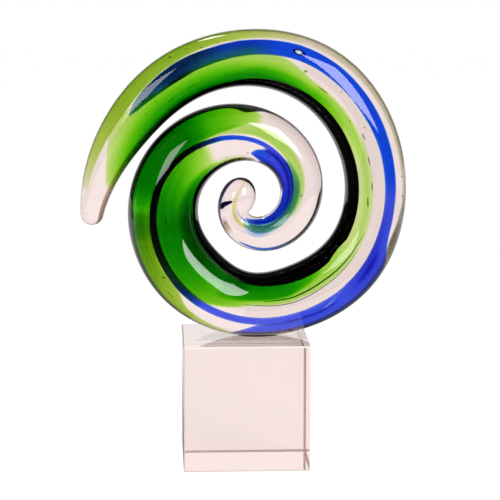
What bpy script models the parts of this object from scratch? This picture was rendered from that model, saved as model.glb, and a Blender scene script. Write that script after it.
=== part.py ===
"""A solid art glass koru: a tapered rod coiled into an unfurling frond, bonded on a polished glass block.

Units are metres and +Z is up. The origin is the middle of the block's underside. The coil lies in the XZ
plane and its front looks along -Y. Every coloured glass is a strip of its own, let into the clear rod.

A place along the rod is its sweep: the degrees that the rod has turned, clockwise as seen from the front,
from the tip of the tail (0) to the end of the curl. A place round the rod is its clock: 0 at the front,
90 at the coil's outer edge, -90 at its inner edge and 180 at the back.
"""

import math

import bmesh
import bpy
import numpy as np

MM = 0.001

# Base block
BLOCK_WIDTH = 60 * MM
BLOCK_DEPTH = 60 * MM
BLOCK_HEIGHT = 60 * MM
BLOCK_CHAMFER = 1.2 * MM

# Joint between the coil and the block
BOND_THICKNESS = 0.3 * MM
BOND_MARGIN = 0.6 * MM
BOND_SIDES = 40
FOOT_GRIND = 0.6 * MM

# Rod: its middle line and its thickness, as sweep, reach from the coil's middle, and rod radius
COIL_SHIFT = 0.5 * MM
TAIL_BEARING = 184
ROD_STATIONS = (
    (0, 73.5 * MM, 5.5 * MM),
    (34, 67.0 * MM, 11.25 * MM),
    (64, 67.25 * MM, 13.0 * MM),
    (94, 68.75 * MM, 13.5 * MM),
    (124, 69.0 * MM, 15.0 * MM),
    (154, 65.5 * MM, 15.0 * MM),
    (184, 62.0 * MM, 14.75 * MM),
    (214, 58.5 * MM, 15.5 * MM),
    (244, 52.75 * MM, 15.75 * MM),
    (274, 49.25 * MM, 15.5 * MM),
    (304, 45.0 * MM, 17.25 * MM),
    (334, 41.75 * MM, 17.25 * MM),
    (364, 39.25 * MM, 16.75 * MM),
    (424, 34.75 * MM, 15.0 * MM),
    (484, 31.5 * MM, 12.0 * MM),
    (544, 26.0 * MM, 10.0 * MM),
    (604, 17.75 * MM, 8.5 * MM),
    (664, 9.75 * MM, 7.25 * MM),
    (724, 4.75 * MM, 8.25 * MM),
    (784, 4.75 * MM, 8.0 * MM),
)
ROD_START = 0
ROD_END = 755
TAIL_STRETCH = 1.0
CURL_STRETCH = 1.2
ROD_BEVEL_RESOLUTION = 6
RING_SPACING = 0.44
END_RINGS = 4
END_CLOSURE = 84
FINE_SWEEPS = 4000
SWEEP_NUDGE = 0.01
WELD = 0.001 * MM
SMOOTH_ANGLE = 35

# Coloured strips: how deep each lies in the rod, and the gap kept round it
STRIP_GAP = 0.3 * MM
BAND_DEPTH = 2.4 * MM
THREAD_DEPTH = 2.0 * MM
EDGE_DEPTH = 2.4 * MM
GREEN_DEPTH = 4.6 * MM
STRIP_END_DEPTH = 1.0 * MM
STRIP_TAPER = 0.12
CUTTER_PROUD = 1.5 * MM
CLOCK_STEP = 18
CLOCKS_HALF = 6

# Course of each strip: sweep, then the clock of its inward and of its outward side
BLUE_BAND_COURSE = (
    (41, 12, 17),
    (47, 5, 27),
    (56, -3, 32),
    (67, -5, 35),
    (79, -1, 34),
    (92, 6, 37),
    (109, 10, 45),
    (126, 11, 46),
    (143, 11, 41),
    (160, 14, 41),
    (178, 19, 44),
    (196, 20, 47),
    (206, 21, 70),
    (233, 22, 72),
    (250, 24, 72),
    (262, 37, 72),
    (272, 46, 72),
    (281, 64, 72),
)
BLUE_THREAD_COURSE = (
    (244, 18, 21),
    (256, 21, 30),
    (266, 22, 36),
    (290, 22, 36),
    (315, 20, 33),
    (342, 12, 26),
    (370, 5, 18),
    (398, -3, 10),
    (429, -12, -1),
    (464, -25, -11),
    (488, -31, -15),
    (513, -37, -19),
    (540, -42, -27),
    (571, -46, -35),
    (606, -48, -37),
    (638, -46, -35),
    (666, -34, -24),
    (700, -9, -4),
)
BLUE_CURL_COURSE = (
    (466, -58, -40),
    (472, -66, -26),
    (500, -68, -32),
    (540, -72, -38),
    (571, -76, -44),
    (606, -76, -46),
    (632, -68, -44),
    (656, -52, -40),
)
DARK_EDGE_COURSE = (
    (74, -68, -60),
    (84, -78, -53),
    (100, -88, -45),
    (112, -92, -40),
    (143, -94, -38),
    (175, -94, -35),
    (206, -94, -32),
    (235, -94, -34),
    (266, -94, -38),
    (296, -94, -43),
    (321, -92, -53),
    (349, -88, -66),
    (365, -82, -74),
)
OUTER_THREAD_COURSE = (
    (359, 70, 76),
    (368, 64, 92),
    (398, 62, 96),
    (430, 62, 96),
    (446, 56, 96),
    (462, 64, 94),
    (500, 66, 90),
    (540, 58, 84),
    (604, 56, 82),
    (636, 58, 66),
)
GREEN_COURSE = (
    (13, -66, -46),
    (22, -70, -12),
    (36, -70, 50),
    (50, -70, 63),
    (94, -70, 60),
    (110, -70, 28),
    (126, -70, -12),
    (149, -70, -14),
    (180, -70, -3),
    (266, -70, 0),
    (280, -70, 12),
    (296, -70, 50),
    (314, -68, 58),
    (363, -66, 56),
    (392, -62, 56),
    (410, -48, 56),
    (430, -26, 56),
    (448, -16, 48),
    (464, -14, 22),
    (488, -20, 15),
    (513, -25, 11),
    (540, -33, 2),
    (571, -39, -10),
    (606, -41, -14),
    (626, -40, -14),
    (640, -36, -20),
)

GLASSES = {
    "base_block": ((0.95, 0.92, 0.92), 0.01),
    "bond_layer": ((0.97, 0.96, 0.92), 0.05),
    "clear_rod": ((0.93, 0.88, 0.87), 0.02),
    "green_overlay": ((0.13, 0.42, 0.01), 0.02),
    "blue_band": ((0.02, 0.07, 0.75), 0.02),
    "blue_thread": ((0.02, 0.06, 0.65), 0.02),
    "blue_curl_band": ((0.02, 0.05, 0.60), 0.02),
    "dark_edge_band": ((0.004, 0.006, 0.02), 0.02),
    "outer_edge_thread": ((0.02, 0.01, 0.08), 0.02),
}


def natural_spline(knots, values, at):
    """Values at `at` of the smooth curve through the knots, with no bending at its two ends."""
    x = np.asarray(knots, float)
    y = np.asarray(values, float)
    at = np.asarray(at, float)
    step = np.diff(x)
    system = np.eye(len(x))
    right = np.zeros(len(x))
    for i in range(1, len(x) - 1):
        system[i, i - 1 : i + 2] = step[i - 1], 2 * (step[i - 1] + step[i]), step[i]
        right[i] = 6 * ((y[i + 1] - y[i]) / step[i] - (y[i] - y[i - 1]) / step[i - 1])
    bend = np.linalg.solve(system, right)
    k = np.clip(np.searchsorted(x, at) - 1, 0, len(x) - 2)
    after, before = at - x[k], x[k + 1] - at
    curved = (bend[k] * before**3 + bend[k + 1] * after**3) / (6 * step[k])
    low = (y[k] / step[k] - bend[k] * step[k] / 6) * before
    high = (y[k + 1] / step[k] - bend[k + 1] * step[k] / 6) * after
    return curved + low + high


def rod_radius(sweep):
    sweeps, _, radii = zip(*ROD_STATIONS)
    return natural_spline(sweeps, radii, sweep)


def rod_middle(sweep):
    """Places (x, z) of the rod's middle line, measured from the coil's middle."""
    sweeps, reaches, _ = zip(*ROD_STATIONS)
    reach = natural_spline(sweeps, reaches, sweep)
    bearing = np.radians(TAIL_BEARING - np.asarray(sweep, float))
    return np.stack([reach * np.cos(bearing), reach * np.sin(bearing)], axis=-1)


def rod_outward(sweep):
    """Unit vectors (x, z) square to the rod's middle line, towards the coil's outer edge."""
    sweep = np.asarray(sweep, float)
    ahead = rod_middle(sweep + SWEEP_NUDGE) - rod_middle(sweep - SWEEP_NUDGE)
    ahead /= np.linalg.norm(ahead, axis=-1, keepdims=True)
    return np.stack([-ahead[..., 1], ahead[..., 0]], axis=-1)


def coil_middle():
    """Place (x, z) of the coil's middle once it is bonded on, and the x and rod radius of its foot."""
    sweep = np.linspace(ROD_START, ROD_END, FINE_SWEEPS)
    middle = rod_middle(sweep)
    radius = rod_radius(sweep)
    lowest = np.argmin(middle[:, 1] - radius)
    foot = middle[lowest, 1] - radius[lowest]
    height = BLOCK_HEIGHT + BOND_THICKNESS - FOOT_GRIND - foot
    return np.array([COIL_SHIFT, height]), COIL_SHIFT + middle[lowest, 0], radius[lowest]


COIL_MIDDLE, FOOT_X, FOOT_RADIUS = coil_middle()


def ring_sweeps(start, end):
    """Sweeps of the rings between two places, closer where the rod is thinner."""
    fine = np.linspace(start, end, FINE_SWEEPS)
    middle = rod_middle(fine)
    run = np.linalg.norm(np.diff(middle, axis=0), axis=1) / (RING_SPACING * rod_radius(fine[1:]))
    rings = np.concatenate([[0.0], np.cumsum(run)])
    count = max(3, math.ceil(rings[-1]) + 1)
    return np.interp(np.linspace(0, rings[-1], count), rings, fine)


def collection(name):
    made = bpy.data.collections.new(name)
    bpy.context.scene.collection.children.link(made)
    return made


def glass(name):
    colour, roughness = GLASSES[name]
    material = bpy.data.materials.new(name + "_glass")
    material.use_nodes = True
    shader = material.node_tree.nodes["Principled BSDF"]
    shader.inputs["Base Color"].default_value = (*colour, 1)
    shader.inputs["Roughness"].default_value = roughness
    shader.inputs["Metallic"].default_value = 0
    shader.inputs["IOR"].default_value = 1.5
    return material


def add_object(name, mesh, home):
    made = bpy.data.objects.new(name, mesh)
    home.objects.link(made)
    if name in GLASSES:
        mesh.materials.clear()
        mesh.materials.append(glass(name))
    else:
        made.hide_render = True
        made.display_type = "WIRE"
    return made


def mesh_from(bm, name):
    bmesh.ops.recalc_face_normals(bm, faces=bm.faces)
    mesh = bpy.data.meshes.new(name)
    bm.to_mesh(mesh)
    bm.free()
    return mesh


def cut(target, cutter):
    modifier = target.modifiers.new("less_" + cutter.name, "BOOLEAN")
    modifier.operation = "DIFFERENCE"
    modifier.solver = "EXACT"
    modifier.object = cutter


def box(name, low, high, home, chamfer=0.0):
    """A box between two corners, with every edge chamfered if a width is given."""
    bm = bmesh.new()
    bmesh.ops.create_cube(bm, size=1)
    low, high = np.array(low), np.array(high)
    bmesh.ops.scale(bm, vec=high - low, verts=bm.verts)
    bmesh.ops.translate(bm, vec=(low + high) / 2, verts=bm.verts)
    made = add_object(name, mesh_from(bm, name), home)
    if chamfer:
        bevel = made.modifiers.new("polished_chamfer", "BEVEL")
        bevel.width = chamfer
        bevel.segments = 1
        bevel.limit_method = "ANGLE"
    return made


def base_block(home):
    half = (BLOCK_WIDTH / 2, BLOCK_DEPTH / 2)
    return box(
        "base_block",
        (-half[0], -half[1], 0),
        (half[0], half[1], BLOCK_HEIGHT),
        home,
        BLOCK_CHAMFER,
    )


def half_chord(radius):
    """Half the width of the flat that the foot's grinding leaves on a round of this radius."""
    return math.sqrt(radius**2 - (radius - FOOT_GRIND) ** 2)


def bond_layer(home):
    """A thin oval of clear adhesive under the whole ground foot, with a small margin round it."""
    coil = COIL_MIDDLE[1] - BLOCK_HEIGHT - BOND_THICKNESS + FOOT_GRIND
    bm = bmesh.new()
    bmesh.ops.create_cone(
        bm, cap_ends=True, segments=BOND_SIDES, radius1=1, radius2=1, depth=BOND_THICKNESS
    )
    size = (half_chord(coil) + BOND_MARGIN, half_chord(FOOT_RADIUS) + BOND_MARGIN, 1)
    bmesh.ops.scale(bm, vec=size, verts=bm.verts)
    bmesh.ops.translate(bm, vec=(FOOT_X, 0, BLOCK_HEIGHT + BOND_THICKNESS / 2), verts=bm.verts)
    return add_object("bond_layer", mesh_from(bm, "bond_layer"), home)


def rod_points():
    """Points and radii of the rod, whose two ends are rounded off by quarters of an ellipse."""
    sweeps = ring_sweeps(ROD_START, ROD_END)
    middle = rod_middle(sweeps) + COIL_MIDDLE
    radius = rod_radius(sweeps)
    closing = np.radians(np.linspace(0, END_CLOSURE, END_RINGS + 1)[1:])
    caps = []
    for end, towards, stretch in ((0, 1, TAIL_STRETCH), (-1, -2, CURL_STRETCH)):
        out = middle[end] - middle[towards]
        out *= stretch * radius[end] / np.linalg.norm(out)
        caps.append(middle[end] + np.outer(np.sin(closing), out))
    narrowing = np.cos(closing)
    places = np.concatenate([caps[0][::-1], middle, caps[1]])
    return places, np.concatenate([narrowing[::-1] * radius[0], radius, narrowing * radius[-1]])


def plain_rod():
    """Mesh of the whole coiled rod, swept as a round of changing radius."""
    places, radii = rod_points()
    curve = bpy.data.curves.new("rod_sweep", "CURVE")
    curve.dimensions = "3D"
    curve.twist_mode = "MINIMUM"
    curve.bevel_depth = MM
    curve.bevel_resolution = ROD_BEVEL_RESOLUTION
    curve.use_fill_caps = True
    spline = curve.splines.new("POLY")
    spline.points.add(len(places) - 1)
    for point, (x, z), radius in zip(spline.points, places, radii):
        point.co = (x, 0, z, 1)
        point.radius = radius / MM
    sweep = bpy.data.objects.new("rod_sweep", curve)
    bpy.context.scene.collection.objects.link(sweep)
    bpy.context.view_layer.update()
    graph = bpy.context.evaluated_depsgraph_get()
    swept = bpy.data.meshes.new_from_object(sweep.evaluated_get(graph))
    bpy.data.objects.remove(sweep)
    bm = bmesh.new()
    bm.from_mesh(swept)
    bmesh.ops.remove_doubles(bm, verts=bm.verts, dist=WELD)
    return mesh_from(bm, "clear_rod")


def section(sweep, low, high, outer, inner):
    """Ring of points of a strip's section: along the rod's surface one way and back at its floor.

    The points keep to the same clocks all along the rod, and those past a side of the strip are moved
    onto it, so every ring has as many.
    """
    middle = rod_middle(sweep) + COIL_MIDDLE
    outward = rod_outward(sweep)
    clocks = np.radians(np.clip(np.arange(-CLOCKS_HALF, CLOCKS_HALF + 1) * CLOCK_STEP, low, high))
    clocks[0], clocks[-1] = math.radians(low), math.radians(high)
    ring = []
    for radius, round_rod in ((outer, clocks), (inner, clocks[::-1])):
        for clock in round_rod:
            x, z = middle + outward * radius * math.sin(clock)
            ring.append((x, -radius * math.cos(clock), z))
    return ring


def side_growth(sweeps, clocks, radii, grow):
    """Degrees of clock that widen a strip by `grow` square to its side, also where the side runs aslant."""
    along = np.radians(np.gradient(sweeps)) * np.hypot(*rod_middle(sweeps).T)
    across = np.radians(np.gradient(clocks)) * radii
    return np.degrees(grow / radii) * np.hypot(1, across / along)


def strip_mesh(name, course, depth, grow=0.0):
    """Loft of a strip's sections, grown on every side by `grow` and then proud of the rod, as its cutter."""
    knots, lows, highs = zip(*course)
    start, end = knots[0], knots[-1]
    sweeps = ring_sweeps(start, end)
    radii = rod_radius(sweeps)
    lows = np.interp(sweeps, knots, lows)
    highs = np.interp(sweeps, knots, highs)
    taper = np.clip(np.minimum(sweeps - start, end - sweeps) / (STRIP_TAPER * (end - start)), 0, 1)
    depths = STRIP_END_DEPTH + (depth - STRIP_END_DEPTH) * np.sqrt(taper)
    low_sides = lows - side_growth(sweeps, lows, radii, grow)
    high_sides = highs + side_growth(sweeps, highs, radii, grow)
    rings = []
    for i, sweep in enumerate(sweeps):
        inner = radii[i] - depths[i] - grow
        outer = radii[i] + (CUTTER_PROUD if grow else 0)
        rings.append(section(sweep, low_sides[i], high_sides[i], outer, inner))
    if grow:
        rings = lengthened(rings, grow)
    bm = bmesh.new()
    loops = [[bm.verts.new(place) for place in ring] for ring in rings]
    for before, after in zip(loops, loops[1:]):
        for i in range(len(before)):
            j = (i + 1) % len(before)
            bm.faces.new((before[i], before[j], after[j]))
            bm.faces.new((before[i], after[j], after[i]))
    bm.faces.new(loops[0])
    bm.faces.new(reversed(loops[-1]))
    bmesh.ops.remove_doubles(bm, verts=bm.verts, dist=WELD)
    return mesh_from(bm, name)


def lengthened(rings, by):
    """The rings with the two end ones moved outwards along the strip."""
    rings = [np.array(ring) for ring in rings]
    for end, towards in ((0, 1), (-1, -2)):
        out = (rings[end] - rings[towards]).mean(axis=0)
        rings[end] = rings[end] + out / np.linalg.norm(out) * by
    return rings


STRIPS = {
    "blue_thread": (BLUE_THREAD_COURSE, THREAD_DEPTH),
    "blue_band": (BLUE_BAND_COURSE, BAND_DEPTH),
    "blue_curl_band": (BLUE_CURL_COURSE, BAND_DEPTH),
    "dark_edge_band": (DARK_EDGE_COURSE, EDGE_DEPTH),
    "outer_edge_thread": (OUTER_THREAD_COURSE, THREAD_DEPTH),
    "green_overlay": (GREEN_COURSE, GREEN_DEPTH),
}


def coil(home, cutters):
    """The coloured strips, each cut by those named before it, and the clear rod, cut by all of them."""
    earlier = []
    for name, (course, depth) in STRIPS.items():
        strip = add_object(name, strip_mesh(name, course, depth), home)
        for cutter in earlier:
            cut(strip, cutter)
        grown = strip_mesh(name + "_cutter", course, depth, STRIP_GAP)
        earlier.append(add_object(name + "_cutter", grown, cutters))
    rod = add_object("clear_rod", plain_rod(), home)
    cut(rod, foot_cutter(cutters))
    for cutter in reversed(earlier):
        cut(rod, cutter)


def foot_cutter(cutters):
    """A box whose top is the plane to which the foot is ground."""
    top = BLOCK_HEIGHT + BOND_THICKNESS
    reach = BLOCK_WIDTH / 2
    low = (FOOT_X - reach, -reach, top - reach)
    high = (FOOT_X + reach, reach, top)
    return box("foot_cutter", low, high, cutters)


def main():
    for old in list(bpy.data.objects):
        bpy.data.objects.remove(old)
    home = collection("koru_ornament")
    cutters = collection("cutters")
    base_block(home)
    bond_layer(home)
    coil(home, cutters)
    for made in home.objects:
        if made.name != "base_block":
            made.data.shade_smooth()
            made.data.set_sharp_from_angle(angle=math.radians(SMOOTH_ANGLE))


main()
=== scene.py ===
"""Finish and studio for a solid art glass koru: a tapered rod coiled into an unfurling frond on a glass cube.

Units are metres and +Z is up. The coil lies in the XZ plane and its front looks along -Y. A place along the
rod is its run, the distance along the rod's middle line from the tip of the tail. A place across it, as seen
from the front, is its width: -1 at the coil's inner edge, 0 in the middle and 1 at the outer edge, and a
little more than 1 where a band wraps round to the back.
"""

import logging
import math
from dataclasses import dataclass, field
from enum import Enum

import bmesh
import bpy
import numpy as np
from mathutils import Matrix, Quaternion, Vector


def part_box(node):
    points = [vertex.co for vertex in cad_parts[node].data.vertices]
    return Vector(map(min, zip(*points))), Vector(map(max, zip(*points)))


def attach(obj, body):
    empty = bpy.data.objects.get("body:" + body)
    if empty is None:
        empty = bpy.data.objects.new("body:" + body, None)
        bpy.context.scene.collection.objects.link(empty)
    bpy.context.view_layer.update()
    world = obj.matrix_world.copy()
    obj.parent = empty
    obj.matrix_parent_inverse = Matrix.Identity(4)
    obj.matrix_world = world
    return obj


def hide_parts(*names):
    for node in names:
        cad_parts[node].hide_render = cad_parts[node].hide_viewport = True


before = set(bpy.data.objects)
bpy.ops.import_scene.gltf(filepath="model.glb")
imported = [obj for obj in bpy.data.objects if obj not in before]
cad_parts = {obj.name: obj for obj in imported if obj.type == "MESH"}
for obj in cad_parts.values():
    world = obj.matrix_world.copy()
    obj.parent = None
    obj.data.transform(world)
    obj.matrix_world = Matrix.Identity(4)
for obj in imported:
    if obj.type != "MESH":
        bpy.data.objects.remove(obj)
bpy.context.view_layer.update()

LOG = logging.getLogger("koru")
MM = 0.001
QUARTER = math.pi / 2
ROOT = "root"
LOAD = "dye_load"
PLACE = "place"

Colour = tuple[float, float, float]
Course = tuple[tuple[float, ...], ...]


class Slot(Enum):
    """The record's material slots."""

    BASE = "base_glass"
    BOND = "bond"
    CLEAR = "clear_glass"
    GREEN = "green_glass"
    BLUE = "blue_glass"
    DARK = "dark_glass"
    VIOLET = "violet_glass"


class Socket:
    """A node's output on which Python's operators add Math nodes."""

    def __init__(self, graph: "Graph", link: bpy.types.NodeSocket | None) -> None:
        """Wraps one output socket of a node in the graph."""
        self.graph = graph
        self.link = link

    def __add__(self, other: "Socket | float") -> "Socket":
        """Sum."""
        return self.graph.maths("ADD", self, other)

    def __sub__(self, other: "Socket | float") -> "Socket":
        """Difference."""
        return self.graph.maths("SUBTRACT", self, other)

    def __rsub__(self, other: float) -> "Socket":
        """Difference from a number."""
        return self.graph.maths("SUBTRACT", other, self)

    def __mul__(self, other: "Socket | float") -> "Socket":
        """Product."""
        return self.graph.maths("MULTIPLY", self, other)

    def __pow__(self, other: "Socket | float") -> "Socket":
        """Power."""
        return self.graph.maths("POWER", self, other)

    def __rpow__(self, other: float) -> "Socket":
        """A number to the power of this."""
        return self.graph.maths("POWER", other, self)

    __radd__ = __add__
    __rmul__ = __mul__

    def ramp(self, low: float, high: float) -> "Socket":
        """Smooth step from 0 at low to 1 at high."""
        sockets = {"Value": self, "From Min": low, "From Max": high}
        return self.graph.node("ShaderNodeMapRange", {"interpolation_type": "SMOOTHSTEP"}, sockets)

    def choose(self, off: "Socket | float", on: "Socket | float") -> "Socket":
        """One number where this is 0, the other where it is 1, and a mixture between."""
        return self.graph.node("ShaderNodeMix", sockets={0: self, 2: off, 3: on})


class Graph:
    """Adds nodes to the tree of a material, of the world or of Geometry Nodes."""

    def __init__(self, tree: bpy.types.NodeTree) -> None:
        """Starts with an empty tree."""
        tree.nodes.clear()
        self.tree = tree

    def node(
        self, kind: str, settings: dict | None = None, sockets: dict | None = None, out: str | int = 0
    ) -> Socket:
        """Adds any node.

        Args:
            kind: The node's type.
            settings: Its properties, set first.
            sockets: Values or links of its inputs, by name or number.
            out: Name or number of the output to return.

        Returns:
            The chosen output, wrapped.
        """
        made = self.tree.nodes.new(kind)
        for name, value in (settings or {}).items():
            setattr(made, name, value)
        for name, value in (sockets or {}).items():
            if isinstance(value, Socket):
                self.tree.links.new(value.link, made.inputs[name])
            else:
                made.inputs[name].default_value = value
        return Socket(self, made.outputs[out] if made.outputs else None)

    def maths(self, operation: str, *values: "Socket | float") -> Socket:
        """Adds a Math node with its inputs in order."""
        return self.node("ShaderNodeMath", {"operation": operation}, dict(enumerate(values)))

    def mix(self, share: "Socket | float", first: Colour, second: Colour) -> Socket:
        """Mixes two colours, from the first at 0 to the second at 1."""
        sockets = {0: share, 6: (*first, 1), 7: (*second, 1)}
        return self.node("ShaderNodeMix", {"data_type": "RGBA"}, sockets, 2)

    def split(self, vector: Socket) -> tuple[Socket, Socket, Socket]:
        """The three parts of a vector."""
        outputs = self.node("ShaderNodeSeparateXYZ", sockets={0: vector}).link.node.outputs
        return tuple(Socket(self, output) for output in outputs)

    def attribute(self, name: str) -> tuple[Socket, Socket, Socket]:
        """The three parts of a vector that the piece's own mesh holds."""
        return self.split(self.node("ShaderNodeAttribute", {"attribute_name": name}, out="Vector"))

    def noise(self, place: Socket, scale: float, detail: float = 3.0) -> Socket:
        """Noise between 0 and 1 at a place."""
        return self.node("ShaderNodeTexNoise", sockets={"Vector": place, "Scale": scale, "Detail": detail})


def material(name: str) -> tuple[bpy.types.Material, Graph]:
    """Makes an empty material.

    Args:
        name: Its name.

    Returns:
        The material and the graph that fills it.
    """
    made = bpy.data.materials.new(name)
    made.use_nodes = True
    return made, Graph(made.node_tree)


def linear(colour: Colour) -> np.ndarray:
    """Linear values of a colour written as a screen shows it, from 0 to 255."""
    value = np.asarray(colour, float) / 255
    return np.where(value <= 0.04045, value / 12.92, ((value + 0.055) / 1.055) ** 2.4)


CLEAR = (255, 237, 234)
WHITE = (255, 255, 255)


@dataclass(frozen=True)
class Dye:
    """A coloured glass, by the colour that white light has after a lay of thickness 1 on the clear rod."""

    colour: Colour
    least: float = 4e-4

    def density(self) -> np.ndarray:
        """How strongly it takes up red, green and blue, beyond what the clear rod does."""
        return -np.log(np.clip(linear(self.colour), self.least, 1) / linear(CLEAR))


@dataclass(frozen=True)
class Finish:
    """A finish of one Principled shader, whose sockets each kind of glass sets in its own way."""

    def sockets(self, graph: Graph) -> dict:
        """Values or links of the shader's sockets."""
        raise NotImplementedError

    def build(self, name: str) -> bpy.types.Material:
        """Makes the material.

        Args:
            name: Its name.

        Returns:
            The material.
        """
        made, graph = material(name)
        shader = graph.node("ShaderNodeBsdfPrincipled", sockets=self.sockets(graph))
        graph.node("ShaderNodeOutputMaterial", sockets={"Surface": shader})
        return made


@dataclass(frozen=True)
class Glass(Finish):
    """A clear or stained glass. Index 1 suits a lay inside another glass, which shows no surface there.

    A stained glass takes its colour from the density that the mesh holds for each point. It thickens and
    thins in streaks along the rod, and painted shade darkens its colour where it is seen edge on.
    """

    tint: Colour = CLEAR
    index: float = 1.5
    roughness: float = 0.0
    stained: bool = False
    streaks: float = 0.0
    streak_pitch: tuple[float, float] = (0.02, 1.1)
    painted_shade_rim: float = 0.0
    painted_shade_facing: tuple[float, float] = (0.5, 0.95)

    def sockets(self, graph: Graph) -> dict:
        """Works out the shader's sockets.

        Args:
            graph: The material's graph.

        Returns:
            Their values or links.
        """
        colour = self.stain_and_shade(graph) if self.stained else (*linear(self.tint), 1)
        common = {"Base Color": colour, "Roughness": self.roughness}
        return common | {"IOR": self.index, "Transmission Weight": 1.0}

    def stain_and_shade(self, graph: Graph) -> Socket:
        """Takes the tint down by the mesh's density, and darkens it as painted shade where seen edge on.

        Args:
            graph: The material's graph.

        Returns:
            The colour.
        """
        density = graph.attribute(LOAD)
        run, across, _ = graph.attribute(PLACE)
        pitch = {0: run * self.streak_pitch[0], 1: across * self.streak_pitch[1]}
        streak = graph.noise(graph.node("ShaderNodeCombineXYZ", sockets=pitch), 1.0)
        load = 1.0 - self.streaks + streak * (2 * self.streaks)
        # Painted shade: the colour darkens where the surface is seen edge on.
        facing = graph.node("ShaderNodeLayerWeight", sockets={"Blend": 0.5}, out="Facing")
        edge = facing.ramp(*self.painted_shade_facing) * self.painted_shade_rim
        pairs = zip(density, linear(self.tint))
        parts = [math.exp(-1) ** (part * load + edge) * full for part, full in pairs]
        return graph.node("ShaderNodeCombineColor", sockets=dict(enumerate(parts)))


@dataclass(frozen=True)
class DenseGlass(Finish):
    """Glass so dense that no light comes through it. It lies in other glass, so it mirrors nothing itself."""

    colour: Colour
    roughness: float = 0.2

    def sockets(self, graph: Graph) -> dict:
        """Values of the shader's sockets."""
        colour = (*linear(self.colour), 1)
        return {"Base Color": colour, "Roughness": self.roughness, "Specular IOR Level": 0.0}


@dataclass(frozen=True)
class GroundGlass(Finish):
    """Glass ground matt, which scatters the light that reaches it, a little uneven where the wheel passed."""

    colour: Colour
    worn: Colour
    roughness: float = 0.6
    grain: float = 260.0

    def sockets(self, graph: Graph) -> dict:
        """Works out the shader's sockets.

        Args:
            graph: The material's graph.

        Returns:
            Their values or links.
        """
        wear = graph.noise(graph.node("ShaderNodeTexCoord", out="Object"), self.grain)
        tone = graph.mix(wear, linear(self.worn), linear(self.colour))
        return {"Base Color": tone, "Roughness": self.roughness}


def smooth_curve(knots: tuple[float, ...], values: tuple[float, ...], at: np.ndarray) -> np.ndarray:
    """Values of the smooth curve through the knots, with no bending at its two ends.

    Args:
        knots: Where the values are given.
        values: One for each knot.
        at: Where the curve is read.

    Returns:
        The curve's values.
    """
    x, y = np.asarray(knots, float), np.asarray(values, float)
    step = np.diff(x)
    system = np.eye(len(x))
    right = np.zeros(len(x))
    for i in range(1, len(x) - 1):
        system[i, i - 1 : i + 2] = step[i - 1], 2 * (step[i - 1] + step[i]), step[i]
        right[i] = 6 * ((y[i + 1] - y[i]) / step[i] - (y[i] - y[i - 1]) / step[i - 1])
    bend = np.linalg.solve(system, right)
    k = np.clip(np.searchsorted(x, at) - 1, 0, len(x) - 2)
    after, before = at - x[k], x[k + 1] - at
    curved = (bend[k] * before**3 + bend[k + 1] * after**3) / (6 * step[k])
    low = (y[k] / step[k] - bend[k] * step[k] / 6) * before
    high = (y[k + 1] / step[k] - bend[k + 1] * step[k] / 6) * after
    return curved + low + high


def smooth_step(value: np.ndarray) -> np.ndarray:
    """Smooth rise from 0 at 0 to 1 at 1."""
    value = np.clip(value, 0, 1)
    return value * value * (3 - 2 * value)


# Each station is a sweep in degrees round the coil's middle, the reach from there and the rod's radius in
# millimetres.
STATIONS = (
    (0, 73.5, 5.5), (34, 67.0, 11.25), (64, 67.25, 13.0), (94, 68.75, 13.5), (124, 69.0, 15.0),
    (154, 65.5, 15.0), (184, 62.0, 14.75), (214, 58.5, 15.5), (244, 52.75, 15.75), (274, 49.25, 15.5),
    (304, 45.0, 17.25), (334, 41.75, 17.25), (364, 39.25, 16.75), (424, 34.75, 15.0), (484, 31.5, 12.0),
    (544, 26.0, 10.0), (604, 17.75, 8.5), (664, 9.75, 7.25), (724, 4.75, 8.25), (784, 4.75, 8.0),
)


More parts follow.
